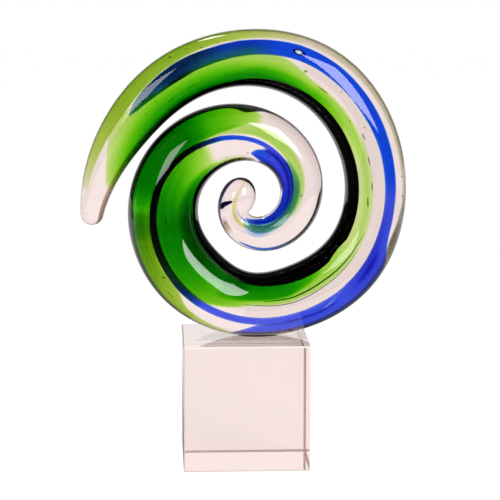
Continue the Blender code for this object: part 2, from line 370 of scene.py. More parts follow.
@dataclass
class RodForm:
    """The rod's middle line and thickness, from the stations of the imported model.

    The foot height is that of the flat to which the foot is ground.
    """

    foot_height: float
    tail_bearing: float = 184
    end_sweep: float = 755
    coil_shift: float = 0.5 * MM
    foot_grind: float = 0.6 * MM
    tail_stretch: float = 1.0
    curl_stretch: float = 1.2
    fine: int = 8000
    coarse: int = 4
    batch: int = 2000
    hold: float = 0.999

    def __post_init__(self) -> None:
        """Works out the middle line with its runs, directions and radii."""
        sweeps, reaches, radii = zip(*STATIONS)
        sweep = np.linspace(0, self.end_sweep, self.fine)
        reach = smooth_curve(sweeps, reaches, sweep) * MM
        self.radii = smooth_curve(sweeps, radii, sweep) * MM
        bearing = np.radians(self.tail_bearing - sweep)
        middle = np.stack([reach * np.cos(bearing), reach * np.sin(bearing)], axis=-1)
        lift = self.foot_height - self.foot_grind - (middle[:, 1] - self.radii).min()
        self.middle = middle + np.array([self.coil_shift, lift])
        steps = np.linalg.norm(np.diff(self.middle, axis=0), axis=1)
        self.runs = np.concatenate([[0.0], np.cumsum(steps)])
        ahead = np.gradient(self.middle, axis=0)
        self.ahead = ahead / np.linalg.norm(ahead, axis=1, keepdims=True)

    def radius(self, run: np.ndarray) -> np.ndarray:
        """Radius of the rod at a run."""
        return np.interp(run, self.runs, self.radii)

    def read(self, rows: np.ndarray, run: np.ndarray) -> np.ndarray:
        """Values (x, z) at a run, of rows that are kept along the middle line."""
        return np.stack([np.interp(run, self.runs, rows[:, i]) for i in range(2)], axis=-1)

    def outward(self, run: np.ndarray) -> np.ndarray:
        """Unit vectors (x, z) square to the middle line, towards the coil's outer edge."""
        ahead = self.read(self.ahead, run)
        return np.stack([-ahead[..., 1], ahead[..., 0]], axis=-1)

    def place(self, run: np.ndarray, clock: np.ndarray, reach: np.ndarray) -> np.ndarray:
        """Places in space.

        Args:
            run: Distance along the middle line.
            clock: Angle round the rod, 0 at the front and a right angle at the outer edge.
            reach: Distance from the middle line.

        Returns:
            Points, with x, y and z along the last axis.
        """
        side = (reach * np.sin(clock))[..., None] * self.outward(run) + self.read(self.middle, run)
        return np.stack([side[..., 0], -reach * np.cos(clock), side[..., 1]], axis=-1)

    def ends(self, rings: int) -> list[tuple[np.ndarray, np.ndarray]]:
        """Rounded ends past the tail and past the curl.

        Args:
            rings: Number of rounds to an end.

        Returns:
            For each end, going outwards, places (x, z) and radii.
        """
        closing = np.linspace(0, QUARTER, rings + 1)[1:]
        caps = []
        for end, way, stretch in ((0, -1, self.tail_stretch), (-1, 1, self.curl_stretch)):
            out = way * stretch * self.radii[end] * self.ahead[end]
            places = self.middle[end] + np.outer(np.sin(closing), out)
            caps.append((places, self.radii[end] * np.cos(closing)))
        return caps

    def whereabouts(self, points: np.ndarray) -> tuple[np.ndarray, np.ndarray]:
        """Run and clock of points on the rod's surface, worked out a batch at a time.

        Args:
            points: Places in space, one to a row.

        Returns:
            The run of the nearest place on the middle line, and the clock as seen from there.
        """
        run = np.empty(len(points))
        line, runs, radii = (held[:: self.coarse] for held in (self.middle, self.runs, self.radii))
        for start in range(0, len(points), self.batch):
            part = points[start : start + self.batch][:, [0, 2]]
            gap = np.hypot(part[:, None, 0] - line[None, :, 0], part[:, None, 1] - line[None, :, 1])
            run[start : start + self.batch] = runs[np.argmin(gap - radii * self.hold, axis=1)]
        side = np.sum((points[:, [0, 2]] - self.read(self.middle, run)) * self.outward(run), axis=1)
        return run, np.arctan2(side, -points[:, 1])


def clock_of(width: np.ndarray) -> np.ndarray:
    """Clock of a width. Past 1 the band wraps on round the back, a tenth for nine degrees."""
    past = np.clip(np.abs(width) - 1, 0, None) * QUARTER
    return np.arcsin(np.clip(width, -1, 1)) + np.sign(width) * past


def width_of(clock: np.ndarray) -> np.ndarray:
    """Width of a clock, the other way round from clock_of."""
    past = np.clip(np.abs(clock) - QUARTER, 0, None) / QUARTER
    return np.sin(np.clip(clock, -QUARTER, QUARTER)) + np.sign(clock) * past


def track(
    course: Course, column: int, run: np.ndarray, soften: float = 3 * MM, reads: int = 9, fall: float = 0.8
) -> np.ndarray:
    """One side of a course along the rod, with its corners rounded off.

    Args:
        course: Rows of run in millimetres and then widths.
        column: Which width.
        run: Where it is read.
        soften: Distance over which a corner is rounded.
        reads: Number of places that are read about each run.
        fall: How much less the outermost of them count than the middle one.

    Returns:
        The side's width at each run.
    """
    knots = [row[0] * MM for row in course]
    values = [row[column] for row in course]
    shares = np.linspace(-1, 1, reads)
    weights = 1 - np.abs(shares) * fall
    pairs = zip(shares * soften, weights)
    return sum(np.interp(run + shift, knots, values) * weight for shift, weight in pairs) / weights.sum()


def add_object(name: str, data: bpy.types.ID) -> bpy.types.Object:
    """Links a new object to the scene, at the origin.

    Args:
        name: Its name.
        data: Its mesh, light or camera.

    Returns:
        The object.
    """
    made = bpy.data.objects.new(name, data)
    bpy.context.scene.collection.objects.link(made)
    return made


def add_piece(
    name: str, mesh: bpy.types.Mesh, finish: bpy.types.Material, node: str | None = None
) -> bpy.types.Object:
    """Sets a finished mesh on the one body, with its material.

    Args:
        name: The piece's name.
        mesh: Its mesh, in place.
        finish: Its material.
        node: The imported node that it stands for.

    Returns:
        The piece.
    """
    piece = add_object(name, mesh)
    mesh.materials.clear()
    mesh.materials.append(finish)
    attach(piece, ROOT)
    if node:
        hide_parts(node)
    return piece


def write_vector(mesh: bpy.types.Mesh, name: str, values: np.ndarray) -> None:
    """Stores a vector for every point of a mesh."""
    held = mesh.attributes.new(name, "FLOAT_VECTOR", "POINT")
    held.data.foreach_set("vector", np.ascontiguousarray(values, np.float32).ravel())


def write_place(mesh: bpy.types.Mesh, run: np.ndarray, clock: np.ndarray, half_breadth: float = 10) -> None:
    """Stores every point's place on the rod, in millimetres along it and roughly in millimetres across."""
    write_vector(mesh, PLACE, np.stack([run / MM, np.sin(clock) * half_breadth, clock * 0], axis=-1))


def mesh_points(mesh: bpy.types.Mesh) -> np.ndarray:
    """Reads the points of a mesh.

    Args:
        mesh: The mesh.

    Returns:
        Its points, one to a row.
    """
    points = np.empty(len(mesh.vertices) * 3, np.float32)
    mesh.vertices.foreach_get("co", points)
    return points.reshape(-1, 3).astype(float)


def as_mesh(bm: bmesh.types.BMesh, name: str) -> bpy.types.Mesh:
    """Makes a mesh of a body.

    Args:
        bm: The body, which is freed.
        name: The mesh's name.

    Returns:
        The mesh.
    """
    mesh = bpy.data.meshes.new(name)
    bm.to_mesh(mesh)
    bm.free()
    return mesh


def join_rings(name: str, rings: np.ndarray, closed: bool = False) -> bpy.types.Mesh:
    """Joins rings of points into one body with its faces outwards.

    Args:
        name: The mesh's name.
        rings: Points in space, by ring and by place on the ring.
        closed: Whether the last ring joins the first. Otherwise both are capped.

    Returns:
        The mesh.
    """
    bm = bmesh.new()
    loops = [[bm.verts.new(point) for point in ring] for ring in rings]
    for before, after in zip(loops, loops[1:] + (loops[:1] if closed else [])):
        for i in range(len(before)):
            j = (i + 1) % len(before)
            bm.faces.new((before[i], before[j], after[j], after[i]))
    if not closed:
        bm.faces.new(reversed(loops[0]))
        bm.faces.new(loops[-1])
    bmesh.ops.recalc_face_normals(bm, faces=bm.faces)
    for face in bm.faces:
        face.smooth = True
    return as_mesh(bm, name)


def there_and_back(there: np.ndarray, back: np.ndarray) -> np.ndarray:
    """Values in order and then others in reverse, without the two that would stand twice."""
    return np.concatenate([there, back[..., -2:0:-1]], axis=-1)


def loft(
    name: str, form: RodForm, runs: np.ndarray, clock: np.ndarray, top: np.ndarray, under: np.ndarray
) -> tuple[bpy.types.Mesh, np.ndarray, np.ndarray]:
    """Closes an upper and a lower side along the rod into one body.

    Args:
        name: The mesh's name.
        form: The rod that it lies in.
        runs: Where its rings lie.
        clock: Places round the rod, a row to a ring.
        top: Distance of the upper side from the middle line at each of them.
        under: The same for the lower side.

    Returns:
        The mesh, and the run and the clock of each point.
    """
    around = there_and_back(clock, clock)
    run = np.repeat(runs[:, None], around.shape[1], axis=1)
    mesh = join_rings(name, form.place(run, around, there_and_back(top, under)))
    run, around = run.ravel(), around.ravel()
    write_place(mesh, run, around)
    return mesh, run, around


class PieceTree:
    """Geometry Nodes that make a mesh of points or edges into one piece, whose form each kind gives."""

    NAME: str
    DETAIL: str
    START = "Start"
    GLASS = "Glass"
    PIECE = "Piece"

    def __init__(self) -> None:
        """Builds the tree: what goes in, its form, and what comes out."""
        self.tree = bpy.data.node_groups.new(self.NAME, "GeometryNodeTree")
        self.graph = Graph(self.tree)
        self.identifiers = {}
        for name, kind in ((self.START, "Geometry"), (self.DETAIL, "Int"), (self.GLASS, "Material")):
            socket = self.tree.interface.new_socket(name, in_out="INPUT", socket_type="NodeSocket" + kind)
            self.identifiers[name] = socket.identifier
        self.tree.interface.new_socket(self.PIECE, in_out="OUTPUT", socket_type="NodeSocketGeometry")
        real = self.graph.node("GeometryNodeRealizeInstances", sockets={"Geometry": self.form()})
        dress = {"Geometry": real, "Material": self.given(self.GLASS)}
        dressed = self.graph.node("GeometryNodeSetMaterial", sockets=dress)
        self.graph.node("NodeGroupOutput", sockets={self.PIECE: dressed})

    def form(self) -> Socket:
        """Adds the nodes that make the form."""
        raise NotImplementedError

    def given(self, name: str) -> Socket:
        """One of the tree's inputs."""
        return self.graph.node("NodeGroupInput", out=name)

    def held(self, name: str, kind: str) -> Socket:
        """A value that each point of the mesh holds."""
        sockets = {"Name": name}
        return self.graph.node("GeometryNodeInputNamedAttribute", {"data_type": kind}, sockets, "Attribute")

    def smooth(self, geometry: Socket) -> Socket:
        """The same faces, shaded smooth."""
        return self.graph.node("GeometryNodeSetShadeSmooth", sockets={"Geometry": geometry})

    def run(self, start: bpy.types.Mesh, detail: int, glass: bpy.types.Material) -> bpy.types.Mesh:
        """Runs the tree on a mesh.

        Args:
            start: The mesh that goes in.
            detail: How finely rounds are made.
            glass: The piece's material.

        Returns:
            The result as a plain mesh.
        """
        carrier = add_object("tree_carrier", start)
        modifier = carrier.modifiers.new("tree", "NODES")
        modifier.node_group = self.tree
        modifier[self.identifiers[self.DETAIL]] = detail
        modifier[self.identifiers[self.GLASS]] = glass
        carrier.update_tag()
        bpy.context.view_layer.update()
        depsgraph = bpy.context.evaluated_depsgraph_get()
        made = bpy.data.meshes.new_from_object(carrier.evaluated_get(depsgraph), depsgraph=depsgraph)
        carrier.modifiers.remove(modifier)
        bpy.data.objects.remove(carrier)
        return made


class SweepTree(PieceTree):
    """Geometry Nodes that sweep a round of changing radius along a path."""

    NAME = "swept_rod"
    DETAIL = "Sides"
    RADIUS = "radius"

    def form(self) -> Socket:
        """Adds the path as a curve, with the round swept along it.

        Returns:
            The closed tube.
        """
        line = self.graph.node("GeometryNodeMeshToCurve", sockets={"Mesh": self.given(self.START)})
        round_sockets = {"Resolution": self.given(self.DETAIL), "Radius": 1.0}
        ring = self.graph.node("GeometryNodeCurvePrimitiveCircle", sockets=round_sockets, out="Curve")
        tube = {"Curve": line, "Profile Curve": ring, "Scale": self.held(self.RADIUS, "FLOAT")}
        return self.smooth(self.graph.node("GeometryNodeCurveToMesh", sockets=tube))


class ScatterTree(PieceTree):
    """Geometry Nodes that set a small round body on every point, sized and turned as the point says."""

    NAME = "scattered_flecks"
    DETAIL = "Roundness"
    SIZE = "size"
    TURN = "turn"

    def form(self) -> Socket:
        """Adds a ball on every point.

        Returns:
            The bodies.
        """
        ball_sockets = {"Radius": 0.5, "Subdivisions": self.given(self.DETAIL)}
        ball = self.graph.node("GeometryNodeMeshIcoSphere", sockets=ball_sockets, out="Mesh")
        spread = {
            "Points": self.given(self.START),
            "Instance": self.smooth(ball),
            "Rotation": self.held(self.TURN, "FLOAT_VECTOR"),
            "Scale": self.held(self.SIZE, "FLOAT_VECTOR"),
        }
        return self.graph.node("GeometryNodeInstanceOnPoints", sockets=spread)


@dataclass(frozen=True)
class Lay:
    """A lay of one dye under the rod's surface, thicker or thinner from place to place.

    Each row of its course is a run in millimetres, its inner and outer side as widths, and its thickness near
    the inner and near the outer side.
    """

    dye: Dye
    course: Course
    inner_fade: float = 0.04
    outer_fade: float = 0.04
    end_fade: float = 4 * MM
    least: float = 1e-3

    def density(self, run: np.ndarray, width: np.ndarray) -> np.ndarray:
        """What the lay takes up at places on the rod.

        Args:
            run: How far along each place is.
            width: How far across.

        Returns:
            The density in red, green and blue, one place to a row.
        """
        low, high, inner, outer = (track(self.course, column, run) for column in range(1, 5))
        inner, outer = np.maximum(inner, self.least), np.maximum(outer, self.least)
        across = np.clip((width - low) / np.maximum(high - low, self.least), 0, 1)
        amount = inner * (outer / inner) ** across
        amount *= smooth_step((width - low) / self.inner_fade + 0.5)
        amount *= smooth_step((high - width) / self.outer_fade + 0.5)
        start, end = self.course[0][0] * MM, self.course[-1][0] * MM
        amount *= smooth_step((run - start) / self.end_fade) * smooth_step((end - run) / self.end_fade)
        return amount[:, None] * self.dye.density()


GREEN = Dye((120, 200, 30))
OLIVE = Dye((146, 184, 46))
TAN = Dye((204, 191, 156))
ROSE = Dye((246, 227, 222))
SMOKE = Dye((150, 140, 128))
SEA_GREEN = Dye((50, 120, 104))
PALE_BLUE = Dye((170, 190, 240))
YELLOW = Dye((210, 200, 110))
SEPIA = Dye((110, 84, 60))
INDIGO = Dye((80, 84, 180))
INK = Dye((60, 52, 92))

# Courses of the green overlay
BROAD_GREEN = (
    (13, -0.95, -0.62, 0.3, 0.3), (25, -0.95, -0.03, 1.3, 0.3), (38, -0.95, 0.50, 3.0, 0.2),
    (50, -0.95, 0.45, 4.5, 0.3), (70, -0.95, 0.04, 6.5, 0.7), (100, -0.95, 0.12, 7.0, 0.5),
    (128, -0.95, 0.22, 4.0, 0.3), (145, -0.95, -0.19, 2.8, 0.4), (160, -0.95, -0.22, 1.8, 0.3),
    (178, -0.95, -0.20, 0.7, 0.25), (200, -0.95, -0.17, 0.25, 0.2), (240, -0.95, -0.19, 0.3, 0.3),
    (268, -0.95, -0.14, 1.5, 0.4), (285, -0.95, -0.09, 4.0, 0.4), (305, -0.95, -0.12, 4.5, 0.4),
    (325, -0.95, 0.24, 3.0, 1.0), (350, -0.95, 0.24, 4.0, 3.0), (366, -0.95, 0.20, 4.5, 4.0),
    (380, -0.95, 0.16, 1.5, 3.5), (400, -0.95, 0.08, 0.5, 1.5), (415, -0.70, -0.08, 0.1, 0.3),
)
TOP_CORE = (
    (98, -0.85, -0.45, 0.2, 0.2), (120, -0.85, -0.25, 2.0, 0.7), (140, -0.85, -0.34, 1.6, 0.5),
    (158, -0.85, -0.42, 0.8, 0.3), (178, -0.85, -0.50, 0.1, 0.1),
)
RIGHT_CORE = ((148, -0.6, -0.26, 0.3, 0.2), (165, -0.5, -0.26, 0.25, 0.2), (245, -0.42, -0.3, 0.1, 0.2))
FOOT_CORE = (
    (262, -0.9, -0.55, 0.3, 0.2), (285, -0.9, -0.27, 2.0, 2.0), (303, -0.9, -0.28, 2.0, 2.0),
    (325, -0.9, -0.1, 1.0, 0.4),
)
INNER_CORE = (
    (306, -0.95, -0.50, 1.5, 0.8), (345, -0.95, -0.45, 4.5, 3.0), (380, -0.95, -0.50, 3.0, 2.0),
    (415, -0.95, -0.72, 1.5, 0.5), (434, -0.95, -0.80, 0.2, 0.2),
)
TAIL_OLIVE = (
    (9, 0.58, 0.95, 0.02, 0.02), (29, 0.50, 1.05, 0.6, 0.5), (50, 0.45, 1.10, 1.0, 1.0),
    (88, 0.63, 1.10, 1.0, 1.2), (138, 0.78, 1.10, 0.03, 0.05),
)
RIGHT_TAN = ((108, 0.72, 1.15, 0.05, 0.2), (150, 0.76, 1.15, 0.6, 1.3), (224, 0.84, 1.15, 1.0, 1.3))
LEFT_OLIVE = (
    (307, 0.90, 1.12, 0.4, 0.5), (331, 0.68, 1.12, 0.7, 1.2), (336, 0.46, 1.12, 0.7, 1.3),
    (366, 0.38, 1.12, 2.0, 3.0), (374, 0.37, 1.12, 0.8, 0.8),
)
TURN_GREEN = (
    (360, 0.38, 1.08, 0.1, 0.1), (370, 0.36, 1.08, 1.0, 1.2), (382, 0.32, 1.08, 4.0, 4.5),
    (407, 0.15, 1.08, 4.0, 5.0), (416, 0.15, 1.06, 1.5, 2.5), (424, 0.20, 1.02, 1.0, 1.5),
    (439, 0.55, 0.75, 0.2, 0.2),
)
CURL_GREEN = (
    (412, 0.12, 0.20, 0.2, 0.2), (436, 0.04, 0.40, 0.5, 0.4), (450, -0.13, 0.30, 0.5, 0.4),
    (470, -0.32, 0.10, 0.25, 0.4), (490, -0.50, -0.18, 0.1, 0.2),
)
CURL_SEA_GREEN = (
    (454, -0.30, -0.16, 0.3, 0.2), (470, -0.46, -0.10, 1.1, 0.5), (490, -0.60, -0.28, 1.4, 0.5),
    (510, -0.60, -0.15, 1.2, 0.8), (521, -0.50, -0.32, 0.3, 0.2),
)
CURL_BLUE = ((500, -0.25, -0.1, 0.5, 0.3), (509, -0.22, 0.1, 1.0, 0.7), (517, -0.22, 0.0, 0.5, 0.2))
CURL_YELLOW = ((513, -0.46, -0.24, 0.4, 0.4), (521, -0.24, 0.0, 0.9, 0.9), (542, 0.32, 0.5, 0.3, 0.3))
CURL_ROSE = ((436, 0.45, 1.0, 0.6, 3.0), (455, 0.5, 1.0, 0.9, 3.5), (487, 0.6, 0.95, 0.2, 0.5))
CLEAR_STRIP = ((138, -0.18, 0.2, 1.0, 1.0), (225, -0.2, 0.22, 1.0, 1.0), (309, -0.12, 0.28, 0.8, 0.8))

GREEN_LAYS = (
    Lay(GREEN, BROAD_GREEN, end_fade=6 * MM),
    Lay(GREEN, TOP_CORE, outer_fade=0.2),
    Lay(GREEN, RIGHT_CORE, 0.1, 0.1),
    Lay(GREEN, FOOT_CORE, outer_fade=0.12),
    Lay(GREEN, INNER_CORE, outer_fade=0.2),
    Lay(OLIVE, TAIL_OLIVE, 0.06),
    Lay(TAN, RIGHT_TAN, 0.08),
    Lay(OLIVE, LEFT_OLIVE, 0.06),
    Lay(GREEN, TURN_GREEN, 0.07, 0.07),
    Lay(GREEN, CURL_GREEN, 0.06, 0.1),
    Lay(SEA_GREEN, CURL_SEA_GREEN, 0.08, 0.16),
    Lay(PALE_BLUE, CURL_BLUE, 0.1, 0.14),
    Lay(YELLOW, CURL_YELLOW, 0.12, 0.12),
    Lay(ROSE, CURL_ROSE, 0.2),
    Lay(ROSE, CLEAR_STRIP, 0.1, 0.1),
)

# Courses of the brown, smoky and violet stains, and of painted shade on the outer edge by the foot
TAIL_SEPIA = (
    (-4, -1.2, -0.58, 1.3, 0.5), (22, -1.2, -0.68, 1.3, 0.3), (50, -1.2, -0.72, 2.5, 0.7),
    (104, -1.2, -0.75, 2.5, 0.7),
)
OUTER_SMOKE = ((16, 0.95, 1.25, 0.1, 0.3), (60, 0.94, 1.25, 0.3, 0.5), (240, 0.91, 1.25, 0.4, 0.7))
FOOT_SMOKE = (
    (209, 0.93, 1.15, 0.1, 0.3), (222, 0.78, 1.15, 1.2, 1.6), (234, 0.64, 1.15, 1.7, 1.7),
    (240, 0.74, 1.15, 1.0, 1.8), (311, 0.80, 1.15, 0.8, 3.0),
)
# Painted shade: dark ink on the outer edge above the foot, where the rod mirrors the foot's dark underside.
FOOT_EDGE_SHADE = (
    (272, 0.9, 1.2, 0.3, 0.8), (286, 0.84, 1.2, 1.5, 4.0), (304, 0.8, 1.2, 1.8, 4.0),
    (311, 0.9, 1.2, 0.6, 2.0),
)
LEFT_SEPIA = ((312, 0.93, 1.25, 0.3, 0.8), (340, 0.88, 1.25, 1.2, 2.4), (372, 0.86, 1.25, 1.6, 3.0))
INNER_SEPIA = (
    (376, -0.93, -0.8, 0.5, 0.3), (390, -0.93, -0.78, 2.4, 1.2), (425, -0.93, -0.8, 2.0, 1.0),
    (440, -0.93, -0.86, 0.4, 0.3),
)
CURL_INK = ((514, 0.93, 1.25, 0.3, 0.8), (526, 0.86, 1.25, 1.2, 2.5), (545, 0.84, 1.25, 1.6, 3.0))
FOOT_SEAM = (
    (264, 0.47, 0.5, 0.3, 0.3), (272, 0.5, 0.56, 1.0, 1.0), (295, 0.5, 0.55, 1.0, 1.0),
    (304, 0.49, 0.52, 0.3, 0.3),
)
BAND_SEAM = ((236, 0.36, 0.44, 0.2, 0.2), (246, 0.37, 0.5, 0.7, 0.7), (257, 0.42, 0.5, 0.2, 0.2))
CURL_SEAM = (
    (441, -0.40, -0.29, 1.2, 1.2), (450, -0.46, -0.36, 1.5, 1.5), (472, -0.67, -0.57, 1.5, 1.5),
    (490, -0.81, -0.71, 0.9, 0.9), (510, -0.82, -0.71, 0.8, 0.8), (520, -0.66, -0.58, 0.2, 0.2),
)
CURL_EDGE = (
    (441, -0.97, -0.86, 0.8, 0.8), (450, -0.97, -0.83, 2.4, 1.8), (466, -0.97, -0.85, 2.4, 1.8),
    (474, -0.97, -0.92, 0.5, 0.5),
)
CURL_SMUDGE = ((517, 0.5, 0.95, 0.2, 0.2), (521, 0.5, 1.0, 0.35, 0.6), (525, 0.55, 1.0, 0.2, 0.3))

STAINS_AND_FOOT_SHADE = (
    Lay(SEPIA, TAIL_SEPIA, 0.02, 0.12),
    Lay(SMOKE, OUTER_SMOKE, 0.06),
    Lay(SMOKE, FOOT_SMOKE, 0.1),
    # Painted shade at the outer edge by the foot.
    Lay(INK, FOOT_EDGE_SHADE, 0.08),
    Lay(SEPIA, LEFT_SEPIA, 0.06),
    Lay(SEPIA, INNER_SEPIA, 0.05, 0.05),
    Lay(INK, CURL_INK, 0.08),
    Lay(INDIGO, FOOT_SEAM, 0.03, 0.03),
    Lay(INDIGO, BAND_SEAM, 0.1, 0.1),
    Lay(INDIGO, CURL_SEAM),
    Lay(INK, CURL_EDGE),
    Lay(SEPIA, CURL_SMUDGE, 0.15),
)


@dataclass
class Bubble:
    """A flat oval bubble at the start of the blue band's highlight, pale inside, ringed with painted shade.

    Its run, half axes, dark ring and skin and the rod's radius there are in millimetres. The dark ring is
    dense near-black glass: painted shade for the dark edge that a bubble shows by bending light.
    """

    run: float = 135.3
    width: float = 0.47
    half_length: float = 2.2
    half_breadth: float = 1.25
    painted_shade_rim: float = 0.26
    skin: float = 0.05
    steps: int = 48
    sides: int = 10
    rod_radius: float = 15.0
    pale_edge: tuple[float, float] = (0.56, 0.96)

    def colour_left(self, run: np.ndarray, width: np.ndarray) -> np.ndarray:
        """Share of the colour that is left at places on the rod.

        Args:
            run: How far along each place is.
            width: How far across.

        Returns:
            The share, one place to a row: none within the bubble, and all of it outside.
        """
        along = (run / MM - self.run) / self.half_length
        across = (width - self.width) * self.rod_radius / self.half_breadth
        inside, outside = self.pale_edge
        return smooth_step((np.hypot(along, across) - inside) / (outside - inside))[:, None]

    def build(self, form: RodForm) -> bpy.types.Object:
        """Builds the dark ring of painted shade round the bubble.

        Args:
            form: The rod that it lies in.

        Returns:
            The finished piece.
        """
        clock = float(clock_of(self.width))
        radius = float(form.radius(self.run * MM))
        turn = np.linspace(0, 2 * math.pi, self.steps, endpoint=False)[:, None]
        round_rim = np.linspace(0, 2 * math.pi, self.sides, endpoint=False)[None, :]
        swell = 1 + self.painted_shade_rim / self.half_breadth * np.cos(round_rim)
        run = (self.run + self.half_length * np.cos(turn) * swell) * MM
        around = clock + self.half_breadth * MM * np.sin(turn) * swell / radius
        reach = radius - (self.skin + self.painted_shade_rim * (1 - np.sin(round_rim))) * MM + turn * 0
        mesh = join_rings("bubble_painted_shade_rim", form.place(run, around, reach), closed=True)
        # Painted shade: near-black dense glass round the bubble.
        return add_piece("bubble_painted_shade_rim", mesh, DenseGlass((3, 3, 10)).build("bubble_painted_shade_rim_glass"))


BUBBLE = Bubble()

# Light takes the square root of a glass's colour at each surface that it crosses. A body inside the rod is
# crossed twice, and holds half of its density. The rod's own surface is crossed once on the side that is
# seen, so it holds the other half twice over.
HALF = 0.5
TWICE = 2


@dataclass
class Cane:
    """A band of coloured glass laid just under the surface of the rod, lens-shaped across.

    Its course is rows of a run in millimetres and its inner and outer side. Its colours are rows of a run and
    the colour that white light has after it, near the inner side and, where it differs, near the outer side.
    """

    name: str
    slot: Slot
    course: Course
    colours: tuple[tuple, ...]
    packed: bool = True
    dense: bool = False
    depth: float = 1.2 * MM
    skin: float = 0.14 * MM
    spacing: float = 0.8 * MM
    point: float = 5 * MM
    soften: float = 1.5 * MM
    across: int = 24
    least_rings: int = 8
    least_angle: float = 0.004
    least_width: float = 0.01
    stoutness: float = 0.45
    shoulder: float = 0.35
    tip: float = 0.02
    streaks: float = 0.06
    shade_fade: float = 0.05

    @property
    def ends(self) -> tuple[float, float]:
        """Runs of its two ends."""
        return self.course[0][0] * MM, self.course[-1][0] * MM

    def sides(self, run: np.ndarray) -> list[np.ndarray]:
        """Widths of its inner and outer side at a run."""
        return [track(self.course, column, run, self.soften) for column in (1, 2)]

    def density(self, run: np.ndarray, share: np.ndarray) -> np.ndarray:
        """What the cane takes up.

        Args:
            run: How far along each place is.
            share: How far across, from 0 at its inner to 1 at its outer side.

        Returns:
            The density in red, green and blue, one place to a row.
        """
        knots = [row[0] * MM for row in self.colours]
        along = []
        for side in (1, -1):
            loads = np.array([Dye(row[side]).density() for row in self.colours])
            along.append(np.stack([np.interp(run, knots, load) for load in loads.T], axis=-1))
        blend = smooth_step(share)[:, None]
        return along[0] * (1 - blend) + along[1] * blend

    def shade(self, run: np.ndarray, width: np.ndarray) -> np.ndarray:
        """The cane's density over places on the rod's surface, a little inside its own sides.

        Args:
            run: How far along each place is.
            width: How far across the rod.

        Returns:
            The density in red, green and blue, one place to a row.
        """
        low, high = self.sides(run)
        start, end = self.ends
        inside = smooth_step((width - low) / self.shade_fade) * smooth_step((high - width) / self.shade_fade)
        inside *= (run > start) & (run < end)
        return inside[:, None] * self.density(run, (width - low) / np.maximum(high - low, self.least_width))

    def build(self, form: RodForm) -> bpy.types.Object:
        """Lofts the cane along the rod.

        Args:
            form: The rod that it lies in.

        Returns:
            The finished piece.
        """
        start, end = self.ends
        runs = np.linspace(start, end, max(self.least_rings, math.ceil((end - start) / self.spacing)))
        low, high = (clock_of(side)[:, None] for side in self.sides(runs))
        high = np.maximum(high, low + self.least_angle)
        share = np.linspace(-1, 1, self.across + 1)
        radius = form.radius(runs)[:, None]
        pointed = np.clip(np.minimum(runs - start, end - runs) / self.point, self.tip, 1)[:, None]
        room = np.minimum(self.depth, radius * (high - low) * self.stoutness) * np.sqrt(pointed)
        bulge = np.sqrt(np.clip(1 - share**2, 0, 1)) * room
        top = radius - self.skin - (1 - np.sqrt(np.clip(1 - share**4, 0, 1))) * room * self.shoulder
        under = np.minimum(top, radius - self.skin - room * self.shoulder - bulge)
        clock = (low + high) / 2 + (high - low) / 2 * share
        mesh, run, around = loft(self.name, form, runs, clock, top, under)
        across = np.tile(there_and_back(share, share) / 2 + 0.5, len(runs))
        load = self.density(run, across) * BUBBLE.colour_left(run, width_of(around))
        write_vector(mesh, LOAD, load * HALF)
        clear = Glass(WHITE, 1.0, stained=True, streaks=self.streaks)
        finish = DenseGlass(self.colours[0][1]) if self.dense else clear
        node = self.name if self.packed else None
        return add_piece(self.name, mesh, finish.build(self.name + "_glass"), node)


ROYAL = (20, 72, 224)
VIOLET_BLUE = (62, 82, 228)
ULTRAMARINE = (44, 52, 200)
DEEP_BLUE = (12, 52, 188)
NAVY = (6, 36, 84)
PETROL = (26, 100, 115)
BOTTLE = (8, 46, 20)
SKY = (110, 145, 210)
VIOLET = (100, 94, 140)
BLACK = (3, 4, 5)
MIDNIGHT = (30, 26, 78)

# Courses of the canes, and of two thin lines of painted shade
BLUE_BAND = (
    (50.5, 0.24, 0.26), (52, 0.19, 0.32), (55, 0.11, 0.40), (60, 0.06, 0.46), (65, 0.00, 0.50),
    (70, -0.03, 0.53), (80, -0.05, 0.58), (88, 0.00, 0.60), (95, 0.02, 0.60), (100, 0.05, 0.61),
    (110, 0.12, 0.66), (120, 0.17, 0.68), (130, 0.20, 0.69), (135, 0.21, 0.70), (155, 0.17, 0.66),
    (165, 0.17, 0.64), (177, 0.18, 0.63), (190, 0.22, 0.61), (210, 0.22, 0.59), (220, 0.21, 0.57),
    (230, 0.19, 0.57), (235, 0.19, 0.63), (240, 0.19, 0.80), (245, 0.195, 0.95), (250, 0.20, 1.05),
    (258, 0.22, 1.06), (263, 0.27, 1.06), (268, 0.42, 1.06), (272, 0.52, 1.06), (280, 0.545, 1.06),
    (290, 0.53, 1.06), (298, 0.52, 1.05), (302, 0.54, 1.05), (305, 0.65, 1.04), (308, 0.78, 1.03),
    (311, 0.93, 1.02),
)
BLUE_THREAD = (
    (256, 0.215, 0.225), (262, 0.235, 0.265), (268, 0.255, 0.415), (272, 0.265, 0.515), (280, 0.285, 0.54),
    (290, 0.285, 0.525), (298, 0.275, 0.515), (305, 0.255, 0.50), (315, 0.245, 0.48), (325, 0.235, 0.465),
    (335, 0.225, 0.455), (345, 0.21, 0.44), (355, 0.20, 0.42), (365, 0.19, 0.40), (380, 0.16, 0.37),
    (390, 0.12, 0.31), (400, 0.06, 0.24), (410, -0.03, 0.15), (415, -0.07, 0.10), (420, -0.10, 0.07),
    (430, -0.18, -0.02), (440, -0.28, -0.10), (443, -0.31, -0.13), (450, -0.40, -0.20), (460, -0.50, -0.27),
    (470, -0.60, -0.40), (480, -0.70, -0.52), (490, -0.76, -0.60), (500, -0.78, -0.63), (505, -0.77, -0.64),
    (510, -0.75, -0.62), (515, -0.70, -0.58), (518, -0.62, -0.50), (522, -0.46, -0.38), (526, -0.26, -0.20),
    (528.5, -0.12, -0.10),
)
